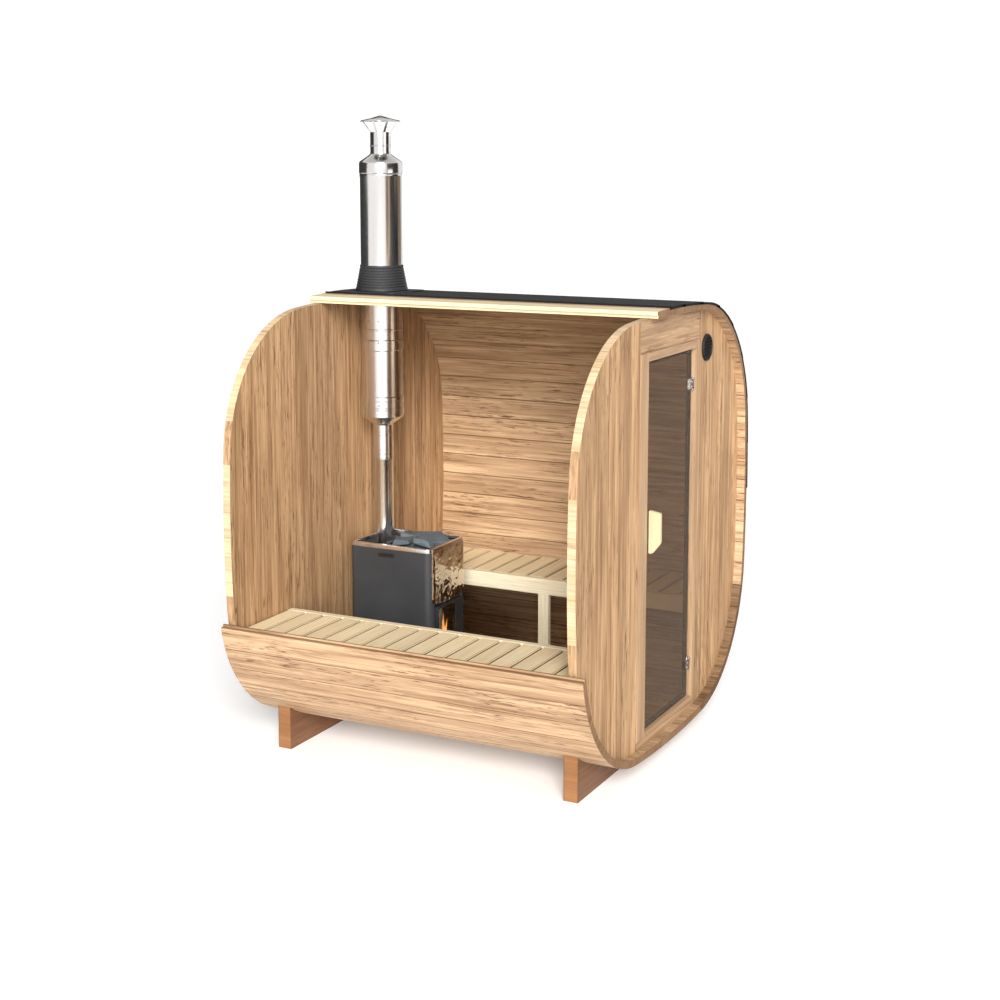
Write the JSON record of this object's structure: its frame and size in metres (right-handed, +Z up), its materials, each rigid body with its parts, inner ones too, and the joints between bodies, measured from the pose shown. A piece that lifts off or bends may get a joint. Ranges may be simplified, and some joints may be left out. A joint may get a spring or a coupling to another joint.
{
  "type": "cube sauna",
  "caption": "Cube sauna cabin of curved timber staves, cut open on one long side, with hinged glass door, two benches, wood stove and chimney.",
  "frame": {"origin": "on the ground under the middle of the shell", "axes": "+Z up; the door wall faces -Y, the open long side faces -X, and the staves run along Y"},
  "size_m": [2.1985, 1.946, 3.187],
  "materials": {
    "shell_wood": "planed, heat-treated, clear oil",
    "wall_wood": "planed, heat-treated, clear oil",
    "frame_wood": "planed, clear",
    "black_wood": "black stain",
    "seal_rubber": "matt",
    "door_glass": "bronze tinted, polished",
    "polished_metal": "polished",
    "vent_plastic": "matt black",
    "roofing": "matt mineral",
    "bearer_wood": "sawn, red-brown impregnation",
    "bench_wood": "planed, bare",
    "stove_paint": "heat-proof matt",
    "fire_door": "heat-proof matt",
    "stone": "split",
    "boot_rubber": "matt",
    "flue_steel": "brushed"
  },
  "bodies": {
    "sauna": {"floor_staves": "shell_wood", "near_lower_staves": "shell_wood", "far_lower_staves": "shell_wood", "far_side_staves": "shell_wood", "far_upper_staves": "shell_wood", "roof_staves": "shell_wood", "front_wall_near": "wall_wood", "front_wall_far": "wall_wood", "front_wall_header": "wall_wood", "front_wall_sill": "wall_wood", "back_wall": "wall_wood", "door_frame": "frame_wood", "door_seal": "seal_rubber", "door_hinges": "polished_metal", "wall_vent": "vent_plastic", "felt_top": "roofing", "felt_corner": "roofing", "felt_side": "roofing", "bearer_front": "bearer_wood", "bearer_back": "bearer_wood", "near_bench_slats": "bench_wood", "far_bench_slats": "bench_wood", "near_bench_rail": "bench_wood", "far_bench_rail": "bench_wood", "bench_ledgers": "bench_wood", "bench_posts": "bench_wood", "stove_body": "stove_paint", "stove_rim": "polished_metal", "stove_plate": "polished_metal", "stove_stones": "stone", "stove_feet": "stove_paint", "flue_pipe": "flue_steel", "flue_cone": "flue_steel", "insulated_pipe": "flue_steel", "chimney_boot": "boot_rubber", "boot_flange": "boot_rubber", "outlet_cone": "flue_steel", "outlet_pipe": "flue_steel", "rain_cap": "flue_steel", "rain_cap_struts": "flue_steel"},
    "door": {"door_glass": "door_glass", "door_clamps": "polished_metal", "handle_outside": "frame_wood", "handle_inside": "black_wood"},
    "fire_door": {"fire_door": "fire_door"}
  },
  "joints": [
    {"name": "door_hinge", "type": "hinge", "parent": "sauna", "child": "door", "pos_m": [0.383, -0.9165, 1.1], "axis": [0, 0, 1], "range_deg": [0, 110]},
    {"name": "fire_door_hinge", "type": "hinge", "parent": "sauna", "child": "fire_door", "pos_m": [0.24, 0.3375, 0.422], "axis": [0, 0, 1], "range_deg": [0, 110]}
  ]
}
